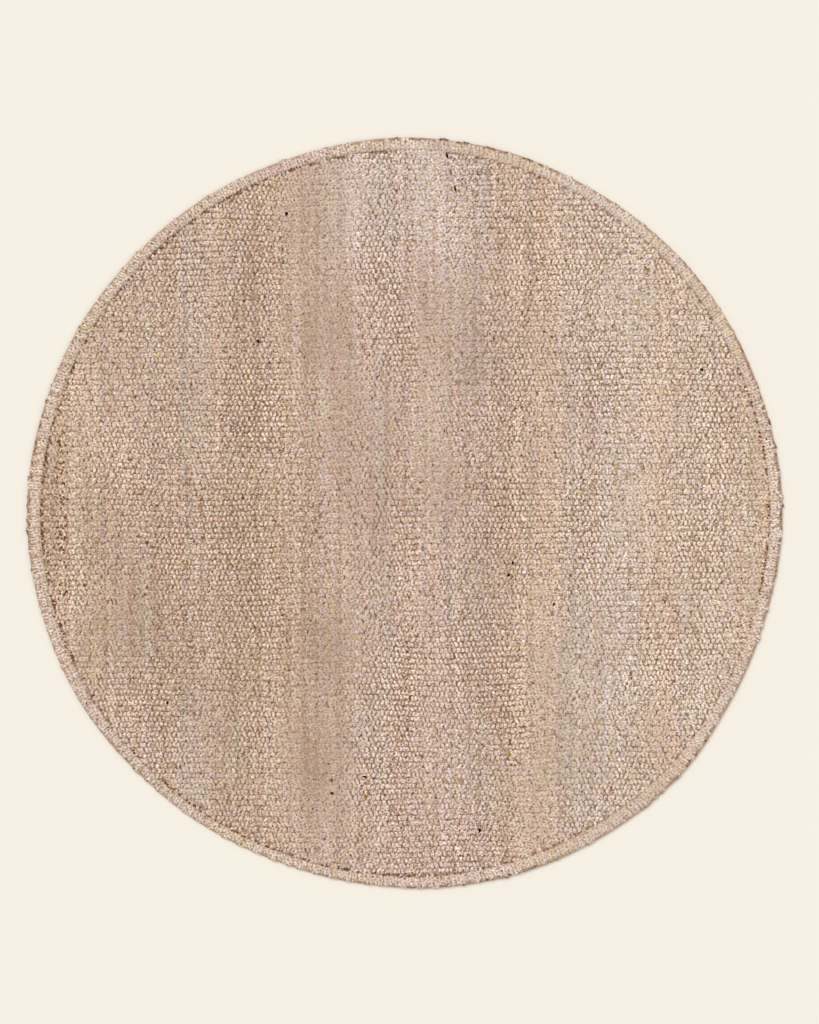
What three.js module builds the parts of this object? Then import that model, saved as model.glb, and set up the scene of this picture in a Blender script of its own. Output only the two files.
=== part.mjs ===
// Round wool rug: a flat disc of pebble weave, whose cut edge is wrapped all round
// in a yarn binding. Millimetres, +Z up, as the rug lies on a floor.
// The origin is on the underside, at the middle of the disc.
import * as THREE from 'three';

// Driving dimensions
const rugRadius = 915;         // to the outside of the binding, mean of the uneven rim
const bindingWidth = 33;       // from the rim to the seam, seen from above
const yarnThickness = 3.5;     // one layer of the wrapped yarn, above and below the cloth
const marginThickness = 5.4;   // the cloth where the binding presses it flat
const weaveHeight = 10.6;      // from the floor to the tops of the pebbles
const clearance = 0.3;         // between the cloth and the binding
const bevel = 2.4;             // how far the cloth slopes at the seam, above and below
const lipRound = 1.6;          // radius on the noses of the binding's two lips
const segments = 144;          // facets round the rug

// Worked out from the driving dimensions
const marginBottom = yarnThickness + clearance;
const marginTop = marginBottom + marginThickness;
const bindingHeight = marginTop + clearance + yarnThickness;
const seamRadius = rugRadius - bindingWidth;
const slotDepth = bindingWidth - yarnThickness;
const clothRadius = seamRadius + slotDepth - clearance;
const rollRadius = bindingHeight / 2;

// How far the rim stands out from (+) or falls short of (-) the mean circle.
// A bearing is in degrees, from +X towards +Y.
const rimShape = [
  { bearing: 0, bulge: 3 },
  { bearing: 20, bulge: -2 },
  { bearing: 38, bulge: 0 },
  { bearing: 60, bulge: -3 },
  { bearing: 75, bulge: 1 },
  { bearing: 90, bulge: 2 },
  { bearing: 110, bulge: -4 },
  { bearing: 135, bulge: -2 },
  { bearing: 155, bulge: 3 },
  { bearing: 180, bulge: 9 },
  { bearing: 207, bulge: 4 },
  { bearing: 228, bulge: -7 },
  { bearing: 250, bulge: -11 },
  { bearing: 263, bulge: -7 },
  { bearing: 275, bulge: 1 },
  { bearing: 295, bulge: 6 },
  { bearing: 317, bulge: 9 },
  { bearing: 330, bulge: -1 },
  { bearing: 343, bulge: -3 },
];

// The bulge at a bearing: an eased blend between the two rows on either side of it.
function bulgeAt(bearing) {
  const turn = THREE.MathUtils.euclideanModulo(bearing, 360);
  const next = rimShape.findIndex((row) => row.bearing > turn);
  const after = next < 0 ? { ...rimShape[0], bearing: 360 } : rimShape[next];
  const before = next < 0 ? rimShape.at(-1) : rimShape[next - 1];
  const share = THREE.MathUtils.smoothstep(turn, before.bearing, after.bearing);
  return THREE.MathUtils.lerp(before.bulge, after.bulge, share);
}

// Points on an arc of a profile. Angles are in degrees, from outwards (0) to up (90).
function arc(centreRadius, centreHeight, radius, from, to, steps) {
  return Array.from({ length: steps + 1 }, (_, i) => {
    const angle = THREE.MathUtils.degToRad(THREE.MathUtils.lerp(from, to, i / steps));
    return new THREE.Vector2(
      centreRadius + radius * Math.cos(angle),
      centreHeight + radius * Math.sin(angle),
    );
  });
}

// Turns a profile of (radius, height) points about +Z, then moves every point but the
// middle one in or out with the rim, so that the cloth and the binding bulge together.
function turned(profile) {
  const geometry = new THREE.LatheGeometry(profile, segments);
  geometry.rotateX(Math.PI / 2);
  const points = geometry.getAttribute('position');
  for (let i = 0; i < points.count; i += 1) {
    const x = points.getX(i);
    const y = points.getY(i);
    const radius = Math.hypot(x, y);
    if (radius > 0) {
      const bearing = THREE.MathUtils.radToDeg(Math.atan2(y, x));
      const stretch = 1 + bulgeAt(bearing) / radius;
      points.setXY(i, x * stretch, y * stretch);
    }
  }
  return geometry;
}

// The woven cloth lies flat on the floor as far as the seam. There it rises and thins
// to the margin that the binding holds.
function clothProfile() {
  const seam = seamRadius - clearance;
  return [
    new THREE.Vector2(0, 0),
    new THREE.Vector2(seam - bevel, 0),
    new THREE.Vector2(seam, marginBottom),
    new THREE.Vector2(clothRadius, marginBottom),
    new THREE.Vector2(clothRadius, marginTop),
    new THREE.Vector2(seam, marginTop),
    new THREE.Vector2(seam - bevel, weaveHeight),
    new THREE.Vector2(0, weaveHeight),
  ];
}

// The binding is one roll of wrapped yarn: a flat foot, a half-round rim, a flat top,
// and a lip with a rounded nose above and below the slot that holds the cloth.
function bindingProfile() {
  const slotEnd = seamRadius + slotDepth;
  const nose = seamRadius + lipRound;
  const slotTop = marginTop + clearance;
  return [
    ...arc(nose, lipRound, lipRound, 180, 270, 3),
    ...arc(rugRadius - rollRadius, rollRadius, rollRadius, -90, 90, 8),
    ...arc(nose, bindingHeight - lipRound, lipRound, 90, 180, 3),
    new THREE.Vector2(seamRadius, slotTop),
    new THREE.Vector2(slotEnd, slotTop),
    new THREE.Vector2(slotEnd, yarnThickness),
    new THREE.Vector2(seamRadius, yarnThickness),
    new THREE.Vector2(seamRadius, lipRound),
  ];
}

// The field: undyed wool in beige, cream and taupe.
function makeField() {
  const wool = new THREE.MeshStandardMaterial({ color: 0xc2aa97, roughness: 0.95, metalness: 0 });
  const field = new THREE.Mesh(turned(clothProfile()), wool);
  field.name = 'field';
  return field;
}

// The binding: the same wool, a little pinker.
function makeBinding() {
  const yarn = new THREE.MeshStandardMaterial({ color: 0xc6ab99, roughness: 0.95, metalness: 0 });
  const binding = new THREE.Mesh(turned(bindingProfile()), yarn);
  binding.name = 'binding';
  return binding;
}

const rug = new THREE.Group();
rug.add(makeField(), makeBinding());

export default rug;
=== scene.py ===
import bpy
import numpy as np
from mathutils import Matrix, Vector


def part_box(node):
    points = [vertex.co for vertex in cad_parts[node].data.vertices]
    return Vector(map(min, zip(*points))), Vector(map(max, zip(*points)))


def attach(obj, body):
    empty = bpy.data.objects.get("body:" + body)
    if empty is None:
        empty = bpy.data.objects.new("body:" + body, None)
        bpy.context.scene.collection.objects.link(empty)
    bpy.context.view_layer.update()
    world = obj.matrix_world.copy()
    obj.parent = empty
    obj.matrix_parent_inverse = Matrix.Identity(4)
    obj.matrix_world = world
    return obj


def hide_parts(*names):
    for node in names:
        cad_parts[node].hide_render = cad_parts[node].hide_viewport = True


# A round wool rug: pebble-weave cloth with a wrapped yarn binding, seen from straight above.
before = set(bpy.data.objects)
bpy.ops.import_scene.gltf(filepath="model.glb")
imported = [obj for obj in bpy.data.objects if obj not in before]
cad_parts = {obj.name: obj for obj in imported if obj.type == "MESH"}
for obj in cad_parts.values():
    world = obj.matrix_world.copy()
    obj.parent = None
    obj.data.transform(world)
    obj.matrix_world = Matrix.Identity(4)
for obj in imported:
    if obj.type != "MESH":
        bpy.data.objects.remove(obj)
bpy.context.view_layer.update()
mm = 0.001
fullTurn = 2 * np.pi

# For the sizes, which are read from the frame.
bearingDecimals = 4              # points of a ring whose bearings agree so far stand in one place
seamFollows = 0.5                # how much of the rim's unevenness the seam takes


def ringOf(node):
    # The outermost and innermost radius of a CAD ring at each bearing where it has points.
    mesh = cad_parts[node].data
    points = np.empty(len(mesh.vertices) * 3)
    mesh.vertices.foreach_get("co", points)
    x, y, _ = points.reshape(-1, 3).T
    every = np.round(np.arctan2(y, x) % fullTurn, bearingDecimals)
    bearings, place = np.unique(every, return_inverse=True)
    outer = np.zeros(len(bearings))
    inner = np.full(len(bearings), np.inf)
    np.maximum.at(outer, place, np.hypot(x, y))
    np.minimum.at(inner, place, np.hypot(x, y))
    return bearings, outer, inner


rimBearings, rimRadii, seamRadii = ringOf("binding")
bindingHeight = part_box("binding")[1].z
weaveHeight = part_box("field")[1].z
bindingWidth = float((rimRadii - seamRadii).mean())
rugRadius = float(rimRadii.mean())
print(f"frame: {2 * rugRadius:.3f} m across, with a binding {bindingWidth / mm:.0f} mm wide")


def rimAt(bearing):
    # The rim's radius, straight from each point of the CAD ring to the next.
    return np.interp(bearing, rimBearings, rimRadii, period=fullTurn)


def seamAt(bearing):
    # The seam is rounder than the rim: it takes only a share of the rim's unevenness.
    middle = seamRadii.mean()
    return middle + seamFollows * (np.interp(bearing, rimBearings, seamRadii, period=fullTurn) - middle)


def waves(x, y, length, seed, count=8, shortest=0.7, longest=1.6):
    # Smooth unevenness of unit spread: a sum of sine waves that run every way, each from
    # shortest to longest times the length given.
    chance = np.random.default_rng(seed)
    way = chance.uniform(0, fullTurn, count)
    pull = fullTurn / (length * chance.uniform(shortest, longest, count))
    start = chance.uniform(0, fullTurn, count)
    total = np.zeros(np.shape(x))
    for k in range(count):
        total += np.sin(pull[k] * (x * np.cos(way[k]) + y * np.sin(way[k])) + start[k])
    return total * np.sqrt(2 / count)


def light(written):
    # Linear light from a colour written 0 to 255, by the screen's own curve.
    share = np.clip(np.asarray(written, float) / 255, 0, 1)
    return np.where(share <= 0.04045, share / 12.92, ((share + 0.055) / 1.055) ** 2.4)


def paint(written):
    # The same with its opacity, as a socket takes it.
    return (*light(written), 1)


def toward(tone, aim, share):
    # A colour moved a share of the way to another.
    return tone + (np.array(aim) - tone) * np.asarray(share)[..., None]


def aroundRug(rows, column, bearing):
    # A value that runs round the rug, straight from row to row of a table with bearings in degrees.
    at = np.radians([row["bearing"] for row in rows])
    return np.interp(bearing, at, [row[column] for row in rows], period=fullTurn)


def perCopy(values):
    # One value for each copy of a strand, laid out to meet the grid of the strand's points.
    return np.asarray(values)[:, None, None]


def acrossStrand(count):
    # The turn round a strand's half-round section: a quarter turn either way from its top.
    return (np.linspace(-1, 1, count) * np.pi / 2)[None, None, :]


def strandGrid(alongCount, acrossCount, shape):
    # v and u of every point: 0 to 1 along its strand and 0 to 1 across it.
    v = np.linspace(0, 1, alongCount)[None, :, None]
    u = np.linspace(0, 1, acrossCount)[None, None, :]
    return np.broadcast_to(v, shape), np.broadcast_to(u, shape)


def pointsAt(x, y, z):
    # Points from three arrays that fit together as one grid.
    return np.stack(np.broadcast_arrays(x, y, z), -1)


def pointsRound(radius, bearing, z):
    # Points by their radius and bearing from the rug's middle.
    return pointsAt(radius * np.cos(bearing), radius * np.sin(bearing), z)


def gridFaces(rows, columns, copies=1):
    # Four-cornered faces over a grid of points, and over each further copy of it.
    corner = (np.arange(rows - 1)[:, None] * columns + np.arange(columns - 1)).ravel()
    one = np.stack([corner, corner + 1, corner + columns + 1, corner + columns], 1)
    return (one + (np.arange(copies) * rows * columns)[:, None, None]).reshape(-1, 4)


def makePiece(name, points, faces, materials, uvs=None, tints=None, worn=None):
    # A smooth mesh from arrays: uvs and tints are given point by point, worn is each face's material.
    mesh = bpy.data.meshes.new(name)
    mesh.vertices.add(len(points))
    mesh.vertices.foreach_set("co", points.ravel())
    mesh.loops.add(faces.size)
    mesh.loops.foreach_set("vertex_index", faces.ravel())
    mesh.polygons.add(len(faces))
    mesh.polygons.foreach_set("loop_start", np.arange(0, faces.size, faces.shape[1]))
    mesh.update(calc_edges=True)
    mesh.shade_smooth()
    for layer, uv in (uvs or {}).items():
        mesh.uv_layers.new(name=layer).data.foreach_set("uv", uv[faces.ravel()].ravel())
    for layer, tint in (tints or {}).items():
        column = mesh.attributes.new(layer, "FLOAT_COLOR", "POINT")
        column.data.foreach_set("color", tint.ravel())
    for material in materials:
        mesh.materials.append(material)
    if worn is not None:
        mesh.polygons.foreach_set("material_index", worn)
    piece = bpy.data.objects.new(name, mesh)
    bpy.context.scene.collection.objects.link(piece)
    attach(piece, "root")
    print(f"{name}: {len(points)} points, {len(faces)} faces")
    return piece


def cellMap(along, across, count, columns, sideMargin=0.1, endMargin=0.06):
    # Gives every copy of a strand its own cell of the square map, with margins as shares of the
    # cell. along and across run from 0 to 1 over one strand.
    rows = int(np.ceil(count / columns))
    index = np.arange(count)[:, None, None]
    u = (index % columns + sideMargin + (1 - 2 * sideMargin) * across) / columns
    v = (index // columns + endMargin + (1 - 2 * endMargin) * along) / rows
    return np.stack(np.broadcast_arrays(u, v), -1).reshape(-1, 2)


class Wire:
    # A socket of a material. Its operators add Math nodes, so a pattern reads as it computes.
    def __init__(self, shader, socket):
        self.shader = shader
        self.socket = socket

    def math(self, operation, *values):
        return self.shader.node("Math", {"operation": operation}, dict(enumerate(values)))

    def __add__(self, other):
        return self.math("ADD", self, other)

    def __radd__(self, other):
        return self.math("ADD", other, self)

    def __sub__(self, other):
        return self.math("SUBTRACT", self, other)

    def __rsub__(self, other):
        return self.math("SUBTRACT", other, self)

    def __mul__(self, other):
        return self.math("MULTIPLY", self, other)

    def __rmul__(self, other):
        return self.math("MULTIPLY", other, self)

    def __truediv__(self, other):
        return self.math("DIVIDE", self, other)

    def __pow__(self, other):
        return self.math("POWER", self, other)

    def __mod__(self, other):
        return self.math("FLOORED_MODULO", self, other)

    def __abs__(self):
        return self.math("ABSOLUTE", self)

    def sine(self):
        return self.math("SINE", self)

    def floor(self):
        return self.math("FLOOR", self)

    def upTo(self, other):
        return self.math("MINIMUM", self, other)

    def atLeast(self, other):
        return self.math("MAXIMUM", self, other)


class Shader:
    # A material with a Principled surface, built by expressions.
    def __init__(self, name, **plain):
        self.material = bpy.data.materials.new(name)
        self.material.use_nodes = True
        self.tree = self.material.node_tree
        self.surface = self.tree.nodes["Principled BSDF"]
        for socket, value in plain.items():
            self.surface.inputs[socket.replace("_", " ")].default_value = value

    def plug(self, socket, value):
        if isinstance(value, Wire):
            self.tree.links.new(value.socket, socket)
        else:
            socket.default_value = value

    def node(self, kind, settings=None, sockets=None, out=0):
        # Any node: its type, its settings first, then the values or links of its sockets.
        made = self.tree.nodes.new("ShaderNode" + kind)
        for name, value in (settings or {}).items():
            setattr(made, name, value)
        for name, value in (sockets or {}).items():
            self.plug(made.inputs[name], value)
        return Wire(self, made.outputs[out])

    def wear(self, socket, value):
        self.plug(self.surface.inputs[socket], value)

    def split(self, vector):
        parts = self.node("SeparateXYZ", sockets={"Vector": vector}).socket.node
        return [Wire(self, parts.outputs[axis]) for axis in "XYZ"]

    def place(self):
        return self.node("TexCoord", out="Object")

    def joined(self, x, y, z=0.0):
        return self.node("CombineXYZ", sockets={"X": x, "Y": y, "Z": z})

    def noise(self, vector, scale, detail):
        return self.node("TexNoise", sockets={"Vector": vector, "Scale": scale, "Detail": detail})

    def blend(self, share, low, high, mode="MIX"):
        # A colour between low and high.
        kind = {"data_type": "RGBA", "blend_type": mode}
        return self.node("Mix", kind, {0: share, 6: low, 7: high}, out=2)

    def scaled(self, colour, factor):
        return self.node("VectorMath", {"operation": "SCALE"}, {0: colour, "Scale": factor})

    def specks(self, scale, size, rarity):
        # Small round spots at uneven places, 1 in the middle of each and 0 beyond its size. Each
        # spot has its own strength, and rarity is the share of them that stay away.
        plan = {"voronoi_dimensions": "2D", "feature": "F1"}
        sockets = {"Vector": self.place(), "Scale": scale, "Randomness": 0.85}
        distance = self.node("TexVoronoi", plan, sockets, out="Distance")
        luck, _, _ = self.split(Wire(self, distance.socket.node.outputs["Color"]))
        strength = ((luck - rarity) / (1.0 - rarity)).atLeast(0.0)
        return (1.0 - distance / size).atLeast(0.0) * strength

    def grain(self, pitch, sway, swayScale=60.0, closeX=0.8, closeY=1.1, start=0.25):
        # Fine fuzz: three sets of waves that cross at 60 degrees leave small round dots, and a slow
        # noise sways them out of line. 1 in the middle of a dot, down to -0.5 between the dots.
        # closeX and closeY set the dots closer along each axis than the pitch says.
        x, y, _ = self.split(self.place())
        x = x + self.noise(self.place(), swayScale, detail=0.0) * sway
        y = y + self.noise(self.joined(y, x), swayScale, detail=0.0) * sway
        total = 0.0
        for way in np.radians((15, 75, 135)):
            across = (x * float(closeX * np.cos(way)) + y * float(closeY * np.sin(way))) / pitch + start
            total = total + (across * fullTurn).sine()
        return total / 3.0

    def bump(self, height, depth):
        self.wear("Normal", self.node("Bump", sockets={"Height": height, "Distance": depth}))

    def flecked(self, tone, fibres, darkest=0.8, span=0.4):
        # A colour that its fibres make darker and lighter.
        return self.scaled(tone, darkest + fibres * span)

    def fibrous(self, fibres, smoothest, span=0.12, depth=0.8 * mm):
        # Fibres roughen the surface, from smoothest up by span, and give it its fine relief.
        self.wear("Roughness", smoothest + span * fibres)
        self.bump(fibres, depth)


# The wool's colours, over the whole rug, each written 0 to 255.
wool = {
    "beige": (218, 193, 174),
    "cream": (255, 249, 240),
    "taupe": (168, 141, 117),
    "ochre": (224, 199, 150),
    "mauve": (214, 186, 178),
    "peat": (26, 8, 4),
    "rust": (132, 74, 42),
    "bark": (120, 74, 44),
    "honey": (194, 150, 70),
}

# What one whole step of each change adds to a colour.
changes = {
    "pale": (42, 44, 47),
    "warm": (16, 0, -16),
    "rosy": (6, -10, 6),
}

# The wool changes from hank to hank across the rug, so each place along x, in metres from the
# middle, has its own shade, in steps of the changes above.
hanks = [
    {"x": -0.9, "pale": -0.4, "warm": 0.5, "rosy": -0.1},
    {"x": -0.8, "pale": -0.1, "warm": 0.2, "rosy": -0.1},
    {"x": -0.7, "pale": 0.0, "warm": 0.1, "rosy": 0.0},
    {"x": -0.5, "pale": -0.2, "warm": 0.0, "rosy": 0.0},
    {"x": -0.35, "pale": -0.2, "warm": 0.2, "rosy": -0.1},
    {"x": -0.2, "pale": -0.1, "warm": 0.0, "rosy": 0.1},
    {"x": -0.1, "pale": 0.1, "warm": 0.0, "rosy": 0.1},
    {"x": 0.0, "pale": -0.1, "warm": 0.0, "rosy": 0.1},
    {"x": 0.1, "pale": 0.1, "warm": 0.0, "rosy": 0.1},
    {"x": 0.2, "pale": -0.1, "warm": -0.1, "rosy": 0.1},
    {"x": 0.3, "pale": 0.0, "warm": 0.2, "rosy": -0.1},
    {"x": 0.5, "pale": 0.2, "warm": -0.2, "rosy": 0.0},
    {"x": 0.65, "pale": 0.1, "warm": 0.1, "rosy": -0.1},
    {"x": 0.75, "pale": 0.2, "warm": -0.1, "rosy": -0.1},
    {"x": 0.9, "pale": -0.2, "warm": 0.4, "rosy": -0.1},
]

# Panels of the cloth that differ from their hanks, soft-edged rectangles in metres from the middle:
# how much paler and warmer the wool is, and how much more the pebbles stand out.
panels = [
    {"x": -0.2, "y": 0.6, "wide": 0.1, "tall": 0.3, "pale": 0.1, "warm": 0.0, "crisp": -0.3},
    {"x": -0.1, "y": 0.1, "wide": 0.1, "tall": 0.3, "pale": 0.0, "warm": 0.0, "crisp": -0.3},
    {"x": -0.2, "y": -0.5, "wide": 0.1, "tall": 0.3, "pale": 0.0, "warm": 0.0, "crisp": -0.3},
    {"x": 0.1, "y": 0.3, "wide": 0.1, "tall": 0.5, "pale": 0.0, "warm": 0.0, "crisp": -0.2},
    {"x": 0.4, "y": -0.5, "wide": 0.1, "tall": 0.3, "pale": 0.0, "warm": -0.1, "crisp": -0.2},
    {"x": -0.7, "y": -0.2, "wide": 0.1, "tall": 0.2, "pale": -0.1, "warm": -0.1, "crisp": -0.2},
    {"x": 0.0, "y": -0.2, "wide": 0.04, "tall": 0.7, "pale": -0.1, "warm": 0.0, "crisp": 0.2},
    {"x": -0.5, "y": -0.2, "wide": 0.3, "tall": 0.3, "pale": -0.2, "warm": 0.1, "crisp": 0.1},
    {"x": -0.4, "y": 0.3, "wide": 0.1, "tall": 0.5, "pale": 0.0, "warm": 0.0, "crisp": 0.1},
    {"x": 0.0, "y": 0.8, "wide": 0.2, "tall": 0.2, "pale": 0.3, "warm": -0.2, "crisp": 0.0},
    {"x": 0.2, "y": -0.2, "wide": 0.1, "tall": 0.4, "pale": -0.1, "warm": 0.0, "crisp": 0.1},
]

panelEdge = 4                    # more makes the panels' sides sharper

# How much the wool varies besides, in the same steps, by yarn and pebble by pebble.
variety = {
    "yarnPale": 0.17,
    "yarnWarm": 0.14,
    "yarnRosy": 0.10,
    "pale": 0.03,
    "dye": 0.10,                 # warmer, and by the next value less rosy
    "rosyFromDye": 0.6,
    "rosy": 0.11,
    "paleFromCrisp": 1.10,
    "honeyFlecks": 0.015,        # the share of the pebbles that have some, and how much they have
    "honeyShare": 0.25,
    "rustFlecks": 0.008,
    "rustShare": 0.3,
}

# How one yarn's shade runs along y: its own part, and waves whose lengths are in metres.
streaks = {
    "own": 0.8,
    "waves": 3,
    "waveSize": 0.6,
    "shortest": 0.2,
    "longest": 1.4,
}

# How strongly the weave stands out, where 1 is the weave on the whole.
relief = {
    "fromPanels": 1.4,
    "wave": 0.08,
    "waveLength": 0.25,
    "least": 0.4,
    "most": 1.5,
}


def bandAt(x, column):
    # A column of the hanks at each x, straight from row to row.
    return np.interp(x, [row["x"] for row in hanks], [row[column] for row in hanks])


def panelSum(x, y, column):
    # A column of the panels summed. Each counts fully inside and fades at its sides, by the
    # exponential of minus the point's distances, as shares of its size, to the power panelEdge.
    total = np.zeros(x.shape)
    for panel in panels:
        beside = ((x - panel["x"]) / panel["wide"]) ** panelEdge
        beyond = ((y - panel["y"]) / panel["tall"]) ** panelEdge
        total += panel[column] * np.exp(-beside - beyond)
    return total


def crispness(x, y):
    # How strongly the weave stands out: 1 on the whole, less in the smooth panels, with slow waves.
    crisp = 1 + relief["fromPanels"] * panelSum(x, y, "crisp")
    crisp = crisp + relief["wave"] * waves(x, y, relief["waveLength"], seed=13)
    return np.clip(crisp, relief["least"], relief["most"])


def yarnStreaks(yarn, y, spread, seed):
    # Each yarn has its own shade, and slow waves along y, so its colour holds for 10 to 70 cm.
    chance = np.random.default_rng(seed)
    lowest = yarn.min()
    count = yarn.max() - lowest + 1
    total = streaks["own"] * chance.normal(0, 1, count)[yarn - lowest]
    for _ in range(streaks["waves"]):
        length = chance.uniform(streaks["shortest"], streaks["longest"], count)[yarn - lowest]
        start = chance.uniform(0, fullTurn, count)[yarn - lowest]
        total += streaks["waveSize"] * np.sin(fullTurn * y / length + start)
    return spread * total


def woolTone(x, y, yarn, chance):
    # Each pebble's colour, as linear light: beige, changed by its hank, its panel, its own yarn and
    # chance. A crisp weave has deeper pits, so its pebbles are paler to keep the panel's tone.
    crisp = crispness(x, y)
    pale = bandAt(x, "pale") + panelSum(x, y, "pale") + yarnStreaks(yarn, y, variety["yarnPale"], seed=21)
    warm = bandAt(x, "warm") + panelSum(x, y, "warm") + yarnStreaks(yarn, y, variety["yarnWarm"], seed=23)
    rosy = bandAt(x, "rosy") + yarnStreaks(yarn, y, variety["yarnRosy"], seed=24)
    pale += chance.normal(0, variety["pale"], x.shape) * crisp + variety["paleFromCrisp"] * (crisp - 1)
    dye = chance.normal(0, variety["dye"], x.shape)
    warm += dye * crisp
    rosy += (chance.normal(0, variety["rosy"], x.shape) - variety["rosyFromDye"] * dye) * crisp
    tone = np.broadcast_to(wool["beige"], (*x.shape, 3)).astype(float)
    for share, change in ((pale, "pale"), (warm, "warm"), (rosy, "rosy")):
        tone = tone + share[..., None] * np.array(changes[change])
    fleck = chance.random(x.shape)
    tone = toward(tone, wool["honey"], (fleck > 1 - variety["honeyFlecks"]) * variety["honeyShare"])
    tone = toward(tone, wool["rust"], (fleck < variety["rustFlecks"]) * variety["rustShare"])
    return light(tone), crisp


# The cloth that the pebbles stand on.
cloth = {
    "top": 6.6 * mm,
    "marginUnder": 2.8 * mm,
    "marginInset": 8 * mm,       # how far inside the rim the pressed margin ends
    "seamGap": 1 * mm,           # how far inside the seam the margin starts
    "seamSlope": 3 * mm,         # over how much of it the underside rises from the floor
    "rings": (0.004, 0.35, 0.7),  # of the disc, as shares of the rim's radius
    "bearings": 288,
    "slack": 0.1 * mm,           # what lies so little over the margin's underside is underneath too
    # The pits' colours: the cords' own brown, made darker as painted shade of the deep pits.
    "pit": (132, 102, 80),
    "pitDark": (112, 78, 54),
    "pitPale": (200, 170, 145),
    "pitScale": 140.0,           # noise cells to the metre, as is every scale of a finish
    "pitContrast": 2.6,
    "fibreScale": 900.0,
}

# The underside's pebbles, which its material draws.
back = {
    "lean": 0.3,                 # of an oval, sideways as a share of the way along
    "narrow": 1.05,              # more makes an oval narrower or shorter
    "short": 0.9,
    "streakAcross": 0.37,        # how fast the tone changes from yarn to yarn, and along one
    "streakAlong": 3.0,
    "ochreAcross": 1.7,          # how fast the ochre changes from yarn to yarn and row to row
    "ochreAlong": 1.3,
    "ochreGain": 2.0,
    "ochreFrom": 0.6,
    "ochreMost": 0.4,
    "fullness": 1.5,             # how much of an oval has the full tone
    "smoothest": 0.84,
    "roughSpan": 0.12,
    "depth": 1.6 * mm,
}


def pitWoolAndShade():
    # The hidden cords between the pebbles: matt, uneven from pit to pit, their own brown made darker as
    # painted shade of the deep pits.
    shader = Shader("pitWoolAndShade", Roughness=0.95, Specular_IOR_Level=0.15)
    patches = shader.noise(shader.place(), cloth["pitScale"], detail=1.0)
    share = ((patches - 0.5) * cloth["pitContrast"] + 0.5).atLeast(0.0).upTo(1.0)
    fibres = shader.noise(shader.place(), cloth["fibreScale"], detail=3.0)
    tone = shader.blend(share, paint(cloth["pitDark"]), paint(cloth["pitPale"]))
    shader.wear("Base Color", shader.flecked(tone, fibres))
    shader.fibrous(fibres, smoothest=0.86)
    return shader.material


def backWool():
    # The underside shows the same weave, flatter: ovals in rows, every other row moved half a pebble.
    shader = Shader("backWool", Roughness=0.95, Specular_IOR_Level=0.15, Sheen_Weight=0.2)
    x, y, _ = shader.split(shader.place())
    row = (y / weave["rowPitch"]).floor()
    side = (row % 2.0) * 2.0 - 1.0
    column = x / weave["pebblePitch"] + side * 0.25
    along = (y / weave["rowPitch"] - row - 0.5) * 2.0
    across = (column - column.floor() - 0.5) * 2.0 + along * side * back["lean"]
    beyond = across * across * back["narrow"] + along * along * back["short"]
    oval = (1.0 - beyond).atLeast(0.0) ** 0.5
    yarn = column.floor() * 2.0 + side
    streakPlace = shader.joined(yarn * back["streakAcross"], y * back["streakAlong"])
    streak = shader.noise(streakPlace, 1.0, detail=1.0)
    dyePlace = shader.joined(yarn * back["ochreAcross"], row * back["ochreAlong"])
    dye = shader.noise(dyePlace, 1.0, detail=0.0) * back["ochreGain"] - back["ochreFrom"]
    tone = shader.blend(streak, paint(wool["taupe"]), paint(wool["cream"]))
    tone = shader.blend(dye.atLeast(0.0).upTo(back["ochreMost"]), tone, paint(wool["ochre"]))
    # Each oval fades at its edge to the pit colour: the cords' own brown and painted shade between the
    # ovals.
    full = (oval * back["fullness"]).upTo(1.0)
    shader.wear("Base Color", shader.blend(full, paint(cloth["pit"]), tone))
    shader.wear("Roughness", back["smoothest"] + back["roughSpan"] * streak)
    shader.bump(oval, back["depth"])
    return shader.material


def makeCloth():
    # A disc lathed from (inset from the rim, height) pairs and rings of the middle, closed on its axis.
    bearing = np.linspace(0, fullTurn, cloth["bearings"], endpoint=False)
    rim = rimAt(bearing)
    seamInset = bindingWidth + cloth["seamGap"]
    edge = [
        (seamInset, 0.0),
        (seamInset - cloth["seamSlope"], cloth["marginUnder"]),
        (cloth["marginInset"], cloth["marginUnder"]),
        (cloth["marginInset"], cloth["top"]),
        (seamInset, cloth["top"]),
    ]
    rings = cloth["rings"]
    radii = [rim * share for share in rings]
    radii += [rim - inset for inset, _ in edge]
    radii += [rim * share for share in rings[::-1]]
    heights = [0.0] * len(rings) + [height for _, height in edge] + [cloth["top"]] * len(rings)
    rounds = [pointsRound(radius, bearing, height) for radius, height in zip(radii, heights)]
    points = np.concatenate(rounds)
    rows, columns = len(radii), len(bearing)
    corner = np.arange((rows - 1) * columns)
    right = corner - corner % columns + (corner + 1) % columns
    faces = np.stack([corner, right, right + columns, corner + columns], 1)
    # Each end is closed by one small many-sided face, drawn as a fan of four-cornered ones.
    half = columns // 2
    fan = np.arange(half - 1)
    underEnd = np.stack([fan + 1, fan, columns - 1 - fan, columns - 2 - fan], 1)
    topEnd = underEnd[:, ::-1] + (rows - 1) * columns
    faces = np.concatenate([faces, underEnd, topEnd])
    low = points[:, 2] < cloth["marginUnder"] + cloth["slack"]
    underneath = low[faces[:, 0]] & low[faces[:, 2]]
    piece = makePiece("clothSheet", points, faces, [pitWoolAndShade(), backWool()],
                      worn=underneath.astype(int))
    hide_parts("field")
    return piece


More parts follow.
